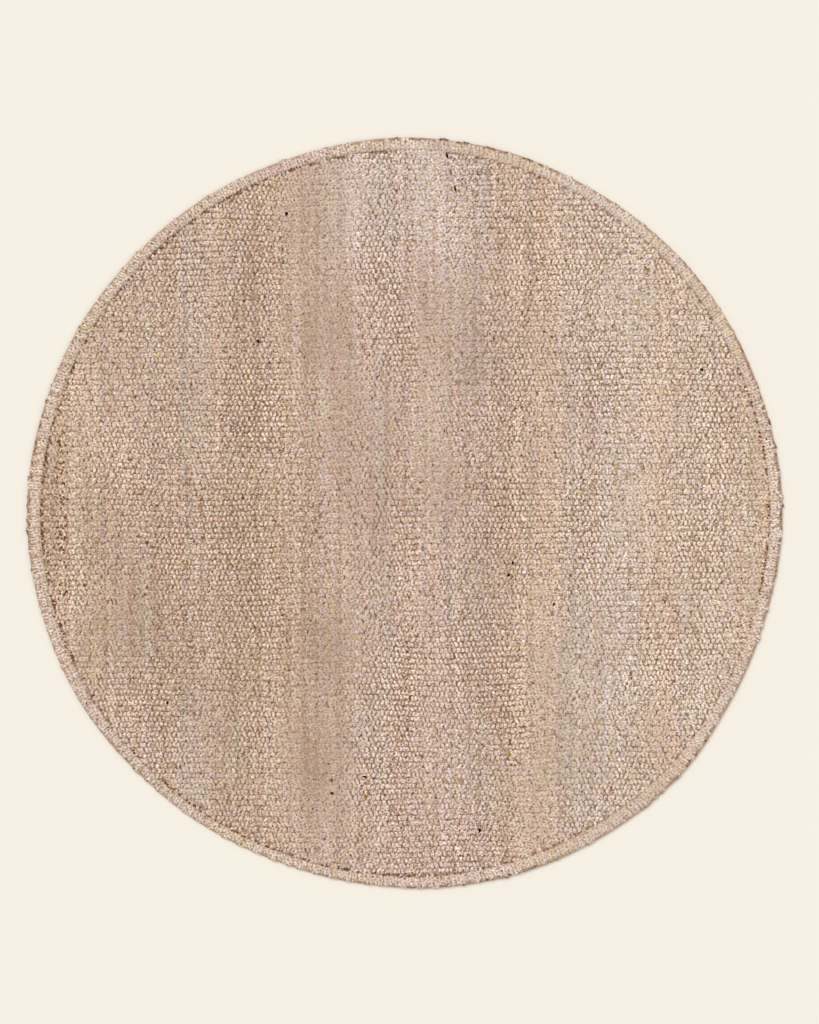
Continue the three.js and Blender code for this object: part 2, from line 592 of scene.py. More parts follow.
# The pebbles: every stretch of yarn that passes over a cord.
weave = {
    "pebblePitch": 9.9 * mm,     # along a row
    "rowPitch": 12.8 * mm,
    "halfWidth": 5.1 * mm,
    "halfLength": 7.6 * mm,
    "sizeSpread": 0.08,
    "smoothWider": 0.42,         # how much wider and longer a pebble is where the weave is smooth
    "smoothLonger": 0.26,
    "endWidth": 0.25,            # of a pebble's ends, as a share of its width
    "endBlunt": 2.5,             # the powers by which its width closes towards them
    "endRound": 0.6,
    "rise": 2.6 * mm,            # from a pebble's sides to its top
    "crispRise": 1.1,
    "endDrop": 4.0 * mm,         # from its middle to its ends
    "endCurve": 2.6,
    "topBelow": 0.6 * mm,        # how far its top lies below the weave's height, on the whole
    "topSpread": 0.3 * mm,
    "topLowest": -1.2 * mm,
    "topHighest": 0.6 * mm,
    "root": 3.6 * mm,            # no pebble reaches lower, so none comes out underneath
    "lean": 0.17,                # sideways, as a share of the way along, to and fro by rows
    "leanSpread": 0.14,
    "swayAside": 3.4 * mm,       # slow waves that spread and close the lattice, and their lengths
    "swayAsideLength": 0.22,
    "swayAsideTurn": 0.12,       # how fast they change along y, as a share of along x
    "swayUp": 3.0 * mm,
    "swayUpLength": 0.36,
    "strayAside": 0.8 * mm,      # how far a pebble lies from its place
    "strayUp": 0.72 * mm,
    "rough": 0.35 * mm,          # and each of its points from a smooth pebble
    "plyTurns": 1.7,
    "pointsAlong": 5,
    "pointsAcross": 5,
    "pieces": 5,
    "fromSeam": -2.0 * mm,       # how far inside the seam the last pebbles' middles lie
}

# Single fibres of other wool in the yarn: ochre and mauve, and small pale and dark curls that are partly
# fibres and partly painted highlights and painted shade. Each kind shows where its noise is more than its
# step away from the middle.
heather = {
    "dyeScale": 170.0,
    "dyeStep": 0.06,
    "dyeGain": 3.4,
    "dyeMost": 0.45,
    "curlScale": 200.0,
    "creamStep": 0.03,
    "curlMost": 0.6,
}

# The finish of the yarn, for the pebbles and the binding's strands, with the painted light and shade on
# them.
yarnFinish = {
    "level": 0.955,              # how light the yarn would be with no crispness at all
    "lift": 0.34,                # and how much lighter its top gets as the weave gets crisp: a painted highlight
    # painted shade at the ends of a stretch of yarn
    "endPaintedShade": 0.25,
    "plySlant": 0.3,             # how far the plies' groove runs aside over the yarn
    "plyLoose": 5.0,             # and how far it strays
    "plyScale": 75.0,
    # painted shade in the plies' groove
    "plyGroovePaintedShade": 0.38,
    "dotWide": 2.5,              # dots of painted shade at the pits beside a pebble: more makes them smaller
    "dotLong": 5.6,
    "dotScale": 110.0,
    "dotFrom": 0.35,             # the noise by which some dots stay away
    "dotGain": 3.0,
    "dotPaintedShade": 0.65,
    "fibreScale": 1400.0,
    "fibreDarkest": 0.90,
    "fibreSpan": 0.2,
    # specks: small dots of painted shade at pits between the fibres
    "speckScale": 115.0,
    "speckSize": 0.45,
    "speckRarity": 0.75,
    "speckFree": 1.02,           # how light the wool is between the specks
    "speckPaintedShade": 1.2,
    "speckMost": 0.8,
    "grainPitch": 7.8 * mm,
    "grainSway": 13 * mm,
    "grainPlain": 0.6,           # how much the grain shows even where the weave is smooth
    "grainDark": 0.28,
    "redPower": 0.8,             # how strongly a shade acts on each light: blue sinks most
    "greenPower": 0.96,
    "bluePower": 1.2,
    "greenSway": 0.5,            # how much a noise changes green's power
    "greenScale": 300.0,
    "smoothest": 0.80,
    "roughSpan": 0.16,
    "plyRelief": 0.7,
    "fibreRelief": 0.5,
    "depth": 0.9 * mm,
}


def pebblePlaces(chance):
    # The lattice: yarn k stands at k half-pitches, and shows in every other row. Slow waves spread
    # and close it, as a hand weave does, so it starts with two rows and columns to spare.
    reach = int(rugRadius / weave["rowPitch"]) + 2
    wide = int(rugRadius / weave["pebblePitch"]) + 2
    row, column = np.meshgrid(np.arange(-reach, reach + 1), np.arange(-wide, wide + 1), indexing="ij")
    row, column = row.ravel(), column.ravel()
    yarn = 2 * column + row % 2
    x = yarn * weave["pebblePitch"] / 2
    y = row * weave["rowPitch"]
    aside = waves(x, weave["swayAsideTurn"] * y, weave["swayAsideLength"], seed=1)
    up = waves(x, y, weave["swayUpLength"], seed=2)
    x = x + weave["swayAside"] * aside + chance.normal(0, weave["strayAside"], x.shape)
    y = y + weave["swayUp"] * up + chance.normal(0, weave["strayUp"], x.shape)
    inside = np.hypot(x, y) < seamAt(np.arctan2(y, x)) - weave["fromSeam"]
    return x[inside], y[inside], row[inside], yarn[inside]


def shadedWool(shader, colour, shade):
    # Wool made lighter or darker by a shade that is mostly painted light and shade: light that bounces in
    # the yarn comes out browner, so each of its three parts is multiplied by its own power of the shade.
    noise = shader.noise(shader.place(), yarnFinish["greenScale"], detail=0.0)
    sway = (noise - 0.5) * yarnFinish["greenSway"]
    red = shade ** yarnFinish["redPower"]
    green = shade ** (yarnFinish["greenPower"] + sway)
    blue = shade ** yarnFinish["bluePower"]
    return shader.blend(1.0, colour, shader.joined(red, green, blue), "MULTIPLY")


def heathered(shader, tone, crisp):
    # Single fibres of other wool, spun in with the rest: ochre and mauve; and small pale and dark curls,
    # partly fibres and partly painted highlights and painted shade, stronger where the weave is crisp.
    dye = shader.noise(shader.place(), heather["dyeScale"], detail=1.0)
    ochre = ((dye - (0.5 + heather["dyeStep"])) * heather["dyeGain"]).atLeast(0.0)
    mauve = (((0.5 - heather["dyeStep"]) - dye) * heather["dyeGain"]).atLeast(0.0)
    tone = shader.blend(ochre.upTo(heather["dyeMost"]), tone, paint(wool["ochre"]))
    tone = shader.blend(mauve.upTo(heather["dyeMost"]), tone, paint(wool["mauve"]))
    curls = shader.noise(shader.place(), heather["curlScale"], detail=1.0)
    pale = ((curls - (0.5 + heather["creamStep"])) * crisp).atLeast(0.0)
    dark = ((0.5 - curls) * crisp).atLeast(0.0)
    tone = shader.blend(pale.upTo(heather["curlMost"]), tone, paint(wool["cream"]))
    return shadedWool(shader, tone, 1.0 - dark.upTo(heather["curlMost"]))


def yarnWool(name, plyTurns):
    # Two-ply wool: its tone comes with each stretch of yarn, with painted shade down the sides, at the ends
    # and in the two plies' groove, a painted highlight on top where the weave is crisp, fine fibres and a
    # soft sheen.
    finish = yarnFinish
    shader = Shader(name, Roughness=0.9, Specular_IOR_Level=0.2, Sheen_Weight=0.2, Sheen_Roughness=0.5)
    tone = shader.node("Attribute", {"attribute_name": "tone"}, out="Color")
    crisp = shader.node("Attribute", {"attribute_name": "tone"}, out="Alpha")
    u, v, _ = shader.split(shader.node("UVMap", {"uv_map": "strand"}))
    flank = 1.0 - abs(u * 2.0 - 1.0)
    along = abs(v * 2.0 - 1.0)
    loose = shader.noise(shader.place(), finish["plyScale"], detail=0.0) * finish["plyLoose"]
    ply = abs(((u * finish["plySlant"] + v * plyTurns + loose) * np.pi).sine())
    groove = 1.0 - ply * ply
    fibres = shader.noise(shader.place(), finish["fibreScale"], detail=3.0)
    dot = (1.0 - flank * flank * finish["dotWide"] - along * along * finish["dotLong"]).atLeast(0.0)
    luck = shader.noise(shader.place(), finish["dotScale"], detail=0.0) - finish["dotFrom"]
    dots = dot * dot * (luck * finish["dotGain"]).atLeast(0.0)
    # Painted shade at the ends, in the plies' groove and in dots at the pits beside the pebble; lift less
    # this is a painted highlight on top.
    paintedShade = along ** 4.0 * finish["endPaintedShade"] + groove * finish["plyGroovePaintedShade"] + dots * finish["dotPaintedShade"]
    shade = finish["level"] + (finish["lift"] - paintedShade) * crisp
    shade = shade * (finish["fibreDarkest"] + fibres * finish["fibreSpan"])
    # Specks of painted shade at small pits between the fibres.
    specks = shader.specks(finish["speckScale"], finish["speckSize"], finish["speckRarity"])
    shade = shade * (finish["speckFree"] - (specks * crisp * finish["speckPaintedShade"]).upTo(finish["speckMost"]))
    grain = shader.grain(finish["grainPitch"], finish["grainSway"])
    shade = shade * (1.0 - grain * (crisp + finish["grainPlain"]) * finish["grainDark"])
    shader.wear("Base Color", shadedWool(shader, heathered(shader, tone, crisp), shade))
    shader.wear("Roughness", finish["smoothest"] + finish["roughSpan"] * fibres)
    shader.bump(ply * finish["plyRelief"] + fibres * finish["fibreRelief"], finish["depth"])
    return shader.material


def makePebbles():
    # A pebble is a grid of two parameters: along it from -1 to 1, and round its section from one
    # side to the other. Its width closes and its top sinks towards the ends; the section is half
    # an ellipse; the whole leans, one way in even rows and the other way in odd ones.
    chance = np.random.default_rng(seed=5)
    x, y, row, yarn = pebblePlaces(chance)
    order = np.argsort(x)
    x, y, row, yarn = x[order], y[order], row[order], yarn[order]
    tone, crisp = woolTone(x, y, yarn, chance)
    tone = np.c_[tone, crisp]
    along = np.sin(np.linspace(-1, 1, weave["pointsAlong"]) * np.pi / 2)[None, :, None]
    turn = acrossStrand(weave["pointsAcross"])
    count = len(x)

    def uneven(middle):
        return perCopy(middle * (1 + chance.normal(0, weave["sizeSpread"], count)))

    toAndFro = 1 - 2 * (row % 2)
    lean = perCopy(weave["lean"] * toAndFro + chance.normal(0, weave["leanSpread"], count))
    deep = perCopy(crisp)
    halfWidth = uneven(weave["halfWidth"]) * (1 + weave["smoothWider"] * (1 - deep))
    halfLength = uneven(weave["halfLength"]) * (1 + weave["smoothLonger"] * (1 - deep))
    lift = chance.normal(0, weave["topSpread"], count).clip(weave["topLowest"], weave["topHighest"])
    top = perCopy(weaveHeight - weave["topBelow"] + lift)
    closing = (1 - np.abs(along) ** weave["endBlunt"]) ** weave["endRound"]
    width = halfWidth * (weave["endWidth"] + (1 - weave["endWidth"]) * closing)
    offAlong = halfLength * along
    offAcross = width * np.sin(turn) + lean * offAlong
    sink = weave["endDrop"] * deep * np.abs(along) ** weave["endCurve"]
    fall = weave["rise"] * deep ** weave["crispRise"] * (1 - np.cos(turn))
    height = top - sink - fall
    height = np.maximum(height + chance.normal(0, weave["rough"], height.shape), weave["root"])
    offAcross = offAcross + chance.normal(0, weave["rough"], height.shape)
    points = pointsAt(perCopy(x) + offAcross, perCopy(y) + offAlong, height)
    v, u = strandGrid(weave["pointsAlong"], weave["pointsAcross"], height.shape)
    material = yarnWool("pebbleWool", weave["plyTurns"])
    perPebble = weave["pointsAlong"] * weave["pointsAcross"]
    pieces = []
    for index, some in enumerate(np.array_split(np.arange(count), weave["pieces"])):
        columns = int(np.ceil(np.sqrt(len(some))))
        pieces.append(makePiece(
            f"pebbles{index + 1}",
            points[some].reshape(-1, 3),
            gridFaces(weave["pointsAlong"], weave["pointsAcross"], len(some)),
            [material],
            uvs={
                "OFBake": cellMap(v[some], u[some], len(some), columns),
                "strand": np.stack([u[some], v[some]], -1).reshape(-1, 2),
            },
            tints={"tone": np.repeat(tone[some], perPebble, axis=0)},
        ))
    return pieces


# Dark and honey-coloured tufts, spun into the wool, that stand out of the weave: x and y in metres
# from the middle, long and wide in millimetres, lean in degrees from +Y towards -X.
tufts = [
    {"x": -0.29, "y": 0.73, "long": 9, "wide": 8, "lean": 0, "wool": "peat"},
    {"x": -0.36, "y": 0.42, "long": 9, "wide": 6, "lean": 40, "wool": "peat"},
    {"x": 0.10, "y": 0.87, "long": 15, "wide": 6, "lean": 20, "wool": "peat"},
    {"x": 0.11, "y": 0.83, "long": 16, "wide": 4, "lean": 10, "wool": "rust"},
    {"x": 0.12, "y": 0.79, "long": 14, "wide": 5, "lean": 15, "wool": "peat"},
    {"x": -0.18, "y": -0.68, "long": 10, "wide": 6, "lean": 60, "wool": "peat"},
    {"x": -0.18, "y": -0.65, "long": 12, "wide": 5, "lean": 0, "wool": "rust"},
    {"x": -0.10, "y": -0.64, "long": 12, "wide": 5, "lean": 80, "wool": "peat"},
    {"x": -0.10, "y": -0.69, "long": 12, "wide": 7, "lean": 0, "wool": "honey"},
    {"x": -0.58, "y": -0.46, "long": 9, "wide": 6, "lean": 10, "wool": "peat"},
    {"x": -0.63, "y": -0.07, "long": 11, "wide": 7, "lean": -25, "wool": "rust"},
    {"x": 0.18, "y": -0.77, "long": 12, "wide": 6, "lean": -5, "wool": "peat"},
    {"x": 0.25, "y": -0.58, "long": 14, "wide": 7, "lean": 30, "wool": "honey"},
    {"x": 0.26, "y": -0.12, "long": 9, "wide": 6, "lean": -10, "wool": "peat"},
    {"x": 0.25, "y": -0.15, "long": 10, "wide": 6, "lean": -35, "wool": "peat"},
    {"x": 0.36, "y": -0.22, "long": 9, "wide": 6, "lean": -20, "wool": "peat"},
    {"x": 0.72, "y": 0.35, "long": 8, "wide": 7, "lean": 45, "wool": "peat"},
    {"x": 0.59, "y": 0.59, "long": 14, "wide": 6, "lean": -60, "wool": "honey"},
    {"x": 0.69, "y": -0.60, "long": 9, "wide": 7, "lean": 30, "wool": "peat"},
]

# Small tufts strewn over bands of the weave, in metres: x is the middle of a band and wide the
# spread about it, and the band runs along y.
strewn = [
    {"x": -0.84, "wide": 0.01, "from": -0.2, "to": 0.2, "count": 90, "wool": "bark"},
    {"x": 0.00, "wide": 0.01, "from": -0.6, "to": -0.1, "count": 30, "wool": "rust"},
    {"x": -0.45, "wide": 0.25, "from": -0.7, "to": 0.7, "count": 120, "wool": "bark"},
    {"x": 0.30, "wide": 0.25, "from": -0.8, "to": 0.8, "count": 170, "wool": "bark"},
]


# What all tufts share, and the sizes of the strewn ones in the units of the first table.
tuftShape = {
    "sunk": 1.6 * mm,            # from the weave's height down to a tuft's foot
    "rise": 2.4 * mm,
    "pointsAlong": 7,
    "pointsAcross": 5,
    "strewnLong": (4.5, 8.0),
    "strewnWide": (2.6, 4.4),
    "strewnLean": 35,
    "fromSeam": 20 * mm,
    "fibreScale": 1200.0,
}


def strewnTufts(chance):
    # The strewn tufts as rows like those of the table above, without any that miss the weave.
    rows = []
    for band in strewn:
        count = band["count"]
        x = band["x"] + chance.normal(0, band["wide"], count)
        y = chance.uniform(band["from"], band["to"], count)
        long = chance.uniform(*tuftShape["strewnLong"], count)
        wide = chance.uniform(*tuftShape["strewnWide"], count)
        lean = chance.normal(0, tuftShape["strewnLean"], count)
        inside = np.hypot(x, y) < seamAt(np.arctan2(y, x)) - tuftShape["fromSeam"]
        for each in np.flatnonzero(inside):
            rows.append({"x": x[each], "y": y[each], "long": long[each], "wide": wide[each],
                         "lean": lean[each], "wool": band["wool"]})
    return rows


def tuftWool():
    # Matt wool in each tuft's own colour.
    shader = Shader("tuftWool", Roughness=0.95, Specular_IOR_Level=0.1)
    tone = shader.node("Attribute", {"attribute_name": "tone"}, out="Color")
    fibres = shader.noise(shader.place(), tuftShape["fibreScale"], detail=2.0)
    shader.wear("Base Color", shader.flecked(tone, fibres))
    shader.fibrous(fibres, smoothest=0.84)
    return shader.material


def makeTufts():
    # Each tuft is half of a flattened egg: a half-round section whose size closes at both ends.
    every = tufts + strewnTufts(np.random.default_rng(seed=21))
    columns = ("x", "y", "long", "wide", "lean")
    values = {column: perCopy([row[column] for row in every]) for column in columns}
    along = np.linspace(-1, 1, tuftShape["pointsAlong"])[None, :, None]
    turn = acrossStrand(tuftShape["pointsAcross"])
    thin = (1 - along ** 2) ** 0.5
    lengthwise = values["long"] / 2 * mm * along
    aside = values["wide"] / 2 * mm * thin * np.sin(turn)
    lean = np.radians(values["lean"])
    x = values["x"] + aside * np.cos(lean) - lengthwise * np.sin(lean)
    y = values["y"] + aside * np.sin(lean) + lengthwise * np.cos(lean)
    z = weaveHeight - tuftShape["sunk"] + tuftShape["rise"] * thin * np.cos(turn)
    tone = np.array([paint(wool[row["wool"]]) for row in every])
    perTuft = along.size * turn.size
    return makePiece("darkTufts", pointsAt(x, y, z).reshape(-1, 3),
                     gridFaces(along.size, turn.size, len(every)), [tuftWool()],
                     tints={"tone": np.repeat(tone, perTuft, axis=0)})


# The binding: yarn wrapped over the edge, strand by strand. A reach is in radians round the roll,
# from the seam.
binding = {
    "strandPitch": 7.2 * mm,
    "pitchSpread": 0.12,         # how far a strand stands from its place, in pitches
    "squareness": 2.6,           # of the roll: 2 is an ellipse, more is squarer
    "start": -0.02,              # where a strand starts, in turns round the roll
    "way": 0.82,                 # and how far it goes
    "crowding": 1.3,             # more sets its points closer at the seam
    "halfStrand": 0.52,          # half a strand's width, in pitches
    "pinch": 0.3,                # how much narrower it is at the seam
    "pinchReach": 0.45,
    "bulge": 2.1 * mm,           # how far a strand stands out of the roll
    "bulgeSpread": 0.15,
    "bulgePower": 1.6,           # less makes a strand more pointed
    "beads": 0.16,               # how much it swells and thins on its way
    "sway": 2.2 * mm,            # the strand's curve to and fro on its way over
    "swaySpread": 0.3,
    "kink": 1.2 * mm,            # its small zigzag
    "kinkLength": 13 * mm,
    "strandLength": 70 * mm,
    "drift": 1.6,                # how the zigzag shifts along the rim, in radians
    "driftLength": 0.10,         # of its waves, as a share of the rug's radius
    "driftSpread": 0.4,
    "slant": 1.6 * mm,           # how far aside it starts, and how far the other way it passes the rim
    "scallop": 3.0 * mm,         # how unevenly the strands reach the rim
    "scallopWave": 0.5,          # its waves and its mean shortfall, as shares of it
    "scallopShort": 0.6,
    "scallopLength": 0.030,
    "scallopSpread": 0.6,
    "scallopFrom": 0.3,          # how far round the roll it shows
    "rough": 0.25 * mm,
    "crispLeast": 0.55,          # how strongly the strands stand out, where the seam is closed
    "crispSpan": 0.6,
    "plyTurns": 8.0,
    "pointsAlong": 19,
    "pointsAcross": 4,
    "mapColumns": 90,
    "coreFacets": 288,
    "corePoints": 20,
    # the core's colours: darker than the strands, as painted shade in the gaps between them
    "coreDark": (160, 124, 98),
    "corePale": (206, 176, 152),
    "coreScale": 800.0,
}

# The strands' colours, written 0 to 255, and how they vary. Lengths are in metres, and a reach is
# in radians round the roll.
wrapLook = {
    "rose": (217, 194, 176),
    "seamShadeBrown": (140, 92, 56),
    "rimBrown": (108, 56, 24),
    "slowLift": 0.06,            # lighter or darker in slow waves, by place and strand by strand
    "slowLiftLength": 0.4,
    "sideLift": 0.10,            # how much paler the wool gets from the middle towards +X
    "liftSpread": 0.12,
    "slowWarmth": 0.10,          # yellower or pinker, in slow waves and strand by strand
    "slowWarmthLength": 0.3,
    "warmthSpread": 0.18,
    "dyeMost": 0.7,
    "brownChance": (0.7, 1.4),   # by how much chance changes each strand's brown
    "brownLength": 0.040,        # of the waves that leave stretches of the rim pale
    "brownSpread": 0.3,
    "brownFrom": -0.2,
    "brownStart": 0.345,         # where the brown starts on a strand, in turns round the roll
    "brownFade": 0.03,
    "openChance": (0.0, 1.7),    # and how deep its painted shade is where it dives at the open seam
    "openMost": 1.3,
    "diveReach": 0.36,           # how far the painted shade of the dive reaches from the seam
    "divePaintedShade": 0.45,
    "shadeReach": 1.1,           # and the faint painted shade that every strand has there
    "shadeDark": 0.10,
}

# How brown the strands turn on the outer side of the rim, 0 to 1, by bearing in degrees.
rimShade = [
    {"bearing": 0, "brown": 0.9},
    {"bearing": 20, "brown": 0.8},
    {"bearing": 30, "brown": 0.4},
    {"bearing": 50, "brown": 0.2},
    {"bearing": 60, "brown": 0.2},
    {"bearing": 70, "brown": 0.8},
    {"bearing": 90, "brown": 0.9},
    {"bearing": 100, "brown": 0.0},
    {"bearing": 150, "brown": 0.0},
    {"bearing": 160, "brown": 0.8},
    {"bearing": 180, "brown": 0.9},
    {"bearing": 190, "brown": 0.0},
    {"bearing": 210, "brown": 0.0},
    {"bearing": 220, "brown": 0.4},
    {"bearing": 230, "brown": 0.0},
    {"bearing": 260, "brown": 0.0},
    {"bearing": 270, "brown": 0.9},
    {"bearing": 290, "brown": 0.6},
    {"bearing": 300, "brown": 0.0},
    {"bearing": 310, "brown": 0.2},
    {"bearing": 320, "brown": 1.0},
    {"bearing": 330, "brown": 0.0},
    {"bearing": 350, "brown": 0.5},
]

# How far the seam stands open, 0 to 1, by bearing in degrees from +X.
seamOpening = [
    {"bearing": 0, "open": 0.9},
    {"bearing": 20, "open": 0.9},
    {"bearing": 30, "open": 0.2},
    {"bearing": 80, "open": 0.1},
    {"bearing": 100, "open": 0.8},
    {"bearing": 160, "open": 0.9},
    {"bearing": 190, "open": 1.0},
    {"bearing": 230, "open": 0.8},
    {"bearing": 260, "open": 1.0},
    {"bearing": 290, "open": 0.6},
    {"bearing": 300, "open": 0.2},
    {"bearing": 320, "open": 0.3},
    {"bearing": 340, "open": 0.8},
]


def rollSection(turn, half, shrink):
    # A rounded-square section of the roll, drawn in by shrink; half is half its width. turn 0 is
    # at the seam, a quarter turn is the top and half a turn the rim. Returns the inset from the
    # rim, the height, and the outward direction in the same two axes.
    power = 2 / binding["squareness"]
    c, s = np.cos(turn), np.sin(turn)
    tall = bindingHeight / 2
    inset = half + (half - shrink) * np.sign(c) * np.abs(c) ** power
    height = tall + (tall - shrink) * np.sign(s) * np.abs(s) ** power
    outInset = np.sign(c) * np.abs(c) ** (2 - power) / (half - shrink)
    outHeight = np.sign(s) * np.abs(s) ** (2 - power) / (tall - shrink)
    size = np.hypot(outInset, outHeight)
    return inset, height, outInset / size, outHeight / size


def coreWoolAndShade():
    # What shows between the strands: wool darkened as painted shade of the gaps between them.
    shader = Shader("coreWoolAndShade", Roughness=0.95, Specular_IOR_Level=0.1)
    fibres = shader.noise(shader.place(), binding["coreScale"], detail=3.0)
    dark, pale = paint(binding["coreDark"]), paint(binding["corePale"])
    shader.wear("Base Color", shader.blend(fibres, dark, pale))
    shader.fibrous(fibres, smoothest=0.86)
    return shader.material


def makeCore():
    # The roll under the strands: its section carried round the rim, closed both ways.
    bearing = np.linspace(0, fullTurn, binding["coreFacets"], endpoint=False)[:, None]
    turn = np.linspace(0, fullTurn, binding["corePoints"], endpoint=False)[None, :]
    half = (rimAt(bearing) - seamAt(bearing)) / 2
    inset, height, _, _ = rollSection(turn, half, binding["bulge"])
    points = pointsRound(rimAt(bearing) - inset, bearing, height)
    rows, columns = points.shape[:2]
    corner = np.arange(rows * columns)
    right = corner - corner % columns + (corner + 1) % columns
    ahead = (corner + columns) % (rows * columns)
    aheadRight = (right + columns) % (rows * columns)
    faces = np.stack([corner, right, aheadRight, ahead], 1)
    return makePiece("bindingCore", points.reshape(-1, 3), faces, [coreWoolAndShade()])


def strandCount():
    # As many strands as go round the rug at their pitch.
    return int(round(fullTurn * rugRadius / binding["strandPitch"]))


def makeWraps():
    # Each strand is a half-round ridge on the roll: along it the turn runs from the seam over the
    # top and the rim and back underneath, and it sways to one side and back as it goes.
    chance = np.random.default_rng(seed=8)
    count = strandCount()
    pitch = fullTurn / count
    middle = pitch * (np.arange(count) + chance.normal(0, binding["pitchSpread"], count))
    rim = perCopy(rimAt(middle))
    ringX, ringY = np.cos(middle), np.sin(middle)
    side = acrossStrand(binding["pointsAcross"])
    crisp = binding["crispLeast"] + binding["crispSpan"] * aroundRug(seamOpening, "open", middle)
    way = binding["way"] * np.linspace(0, 1, binding["pointsAlong"]) ** binding["crowding"]
    turn = ((binding["start"] + way) * fullTurn)[None, :, None]
    half = (rim - perCopy(seamAt(middle))) / 2
    inset, height, outInset, outHeight = rollSection(turn, half, binding["bulge"])

    kinks = binding["strandLength"] / binding["kinkLength"] * fullTurn
    run = np.linspace(0, kinks, binding["pointsAlong"])[None, :, None]
    drift = binding["drift"] * waves(ringX, ringY, binding["driftLength"], seed=6)
    drift = perCopy(drift + chance.normal(0, binding["driftSpread"], count))
    plump = perCopy(1 + chance.normal(0, binding["bulgeSpread"], count))
    plump = plump * (1 + binding["beads"] * np.sin(2 * run + 3 * drift))
    bulge = binding["bulge"] * plump * (1 - np.abs(np.sin(side)) ** binding["bulgePower"])
    sway = binding["sway"] * perCopy(1 + chance.normal(0, binding["swaySpread"], count))
    offset = sway * np.sin(2 * turn - np.pi)
    offset = offset + binding["slant"] * np.cos(turn) + binding["kink"] * np.sin(run + drift)
    narrow = 1 - binding["pinch"] * np.exp(-(turn / binding["pinchReach"]) ** 2)
    offset = offset + np.sin(side) * binding["halfStrand"] * pitch * rugRadius * narrow
    bearing = perCopy(middle) + offset / rugRadius

    reach = waves(ringX, ringY, binding["scallopLength"], seed=9)
    reach = reach + chance.normal(0, binding["scallopSpread"], count)
    scallop = binding["scallop"] * perCopy(binding["scallopWave"] * reach - binding["scallopShort"])
    radius = rim + scallop * np.clip(binding["scallopFrom"] - np.cos(turn), 0, 1) - inset
    radius = radius - outInset * bulge + chance.normal(0, binding["rough"], bulge.shape)
    points = pointsRound(radius, bearing, np.maximum(height + outHeight * bulge, 0))
    tone = wrapTone(middle, turn[0, :, 0], crisp, chance)
    v, u = strandGrid(binding["pointsAlong"], binding["pointsAcross"], points.shape[:3])
    piece = makePiece(
        "bindingWraps",
        points.reshape(-1, 3),
        gridFaces(binding["pointsAlong"], binding["pointsAcross"], count)[:, ::-1],
        [yarnWool("bindingWool", binding["plyTurns"])],
        uvs={
            "OFBake": cellMap(v, u, count, binding["mapColumns"]),
            "strand": np.stack([u, v], -1).reshape(-1, 2),
        },
        tints={"tone": np.repeat(tone.reshape(-1, 4), binding["pointsAcross"], axis=0)},
    )
    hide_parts("binding")
    return piece


def wrapTone(middle, turn, crisp, chance):
    # The strands' colour, as linear light: rosy beige, lighter or darker strand by strand and in slow
    # drifts, with painted shade where the strand dives at an open seam and faint painted shade near the
    # seam, and brown down the outer side.
    look = wrapLook
    x, y = rugRadius * np.cos(middle), rugRadius * np.sin(middle)
    lift = look["slowLift"] * waves(x, y, look["slowLiftLength"], seed=31)
    lift += look["sideLift"] * x / rugRadius + chance.normal(0, look["liftSpread"], middle.shape)
    warmth = look["slowWarmth"] * waves(x, y, look["slowWarmthLength"], seed=32)
    warmth += chance.normal(0, look["warmthSpread"], middle.shape)
    tone = np.broadcast_to(look["rose"], (len(middle), 3)).astype(float)
    tone = toward(tone, wool["cream"], np.clip(lift, 0, 1))
    tone = toward(tone, wool["taupe"], np.clip(-lift, 0, 1))
    tone = toward(tone, wool["ochre"], np.clip(warmth, 0, look["dyeMost"]))
    tone = toward(tone, wool["mauve"], np.clip(-warmth, 0, look["dyeMost"]))
    tone = tone[:, None, :] * np.ones((1, len(turn), 1))
    brown = aroundRug(rimShade, "brown", middle) * chance.uniform(*look["brownChance"], middle.shape)
    patch = waves(x, y, look["brownLength"], seed=33) + chance.normal(0, look["brownSpread"], middle.shape)
    brown *= patch > look["brownFrom"]
    opening = aroundRug(seamOpening, "open", middle) * chance.uniform(*look["openChance"], middle.shape)
    dive = np.exp(-(turn / look["diveReach"]) ** 2)[None, :] * opening.clip(0, look["openMost"])[:, None]
    shade = np.exp(-(turn / look["shadeReach"]) ** 2)[None, :]
    outer = np.clip((turn / fullTurn - look["brownStart"]) / look["brownFade"], 0, 1)[None, :]
    # Painted shade at the seam: deep where the strand dives at an open seam, faint on every strand.
    tone = toward(tone, look["seamShadeBrown"], look["divePaintedShade"] * dive + look["shadeDark"] * shade)
    tone = light(toward(tone, look["rimBrown"], outer * brown.clip(0, 1)[:, None]))
    return np.concatenate([tone, perCopy(crisp) * np.ones((1, len(turn), 1))], -1)


# The stitches in the seam. Their dark brown is partly thread and partly painted shade of the open seam.
seam = {
    "halfLength": 3.6 * mm,
    "halfWidth": 2.3 * mm,
    "rise": 2.4 * mm,
    "height": 12.2 * mm,
    "inside": 0.6 * mm,          # how far inside the seam the stitches lie, and how far they stray
    "stray": 2.0 * mm,
    "pitchSpread": 0.12,
    "most": 1.3,                 # the largest stitch where the seam stands fully open
    "least": 0.64,               # smaller ones don't show
    "lean": 0.2,
    "leanSpread": 0.5,
    "pointsAlong": 5,
    "pointsAcross": 4,
    "dark": (92, 48, 27),
    "pale": (150, 90, 56),
    "patchScale": 60.0,
    "fibreScale": 1500.0,
    "smoothest": 0.82,
    "roughSpan": 0.14,
    "depth": 0.5 * mm,
}


def stitchThreadAndShade():
    # Brown thread, darker and paler in patches, that also serves as painted shade in the open seam.
    shader = Shader("stitchThreadAndShade", Roughness=0.9, Specular_IOR_Level=0.15)
    patches = shader.noise(shader.place(), seam["patchScale"], detail=2.0)
    shader.wear("Base Color", shader.blend(patches, paint(seam["dark"]), paint(seam["pale"])))
    shader.wear("Roughness", seam["smoothest"] + seam["roughSpan"] * patches)
    shader.bump(shader.noise(shader.place(), seam["fibreScale"], detail=2.0), seam["depth"])
    return shader.material


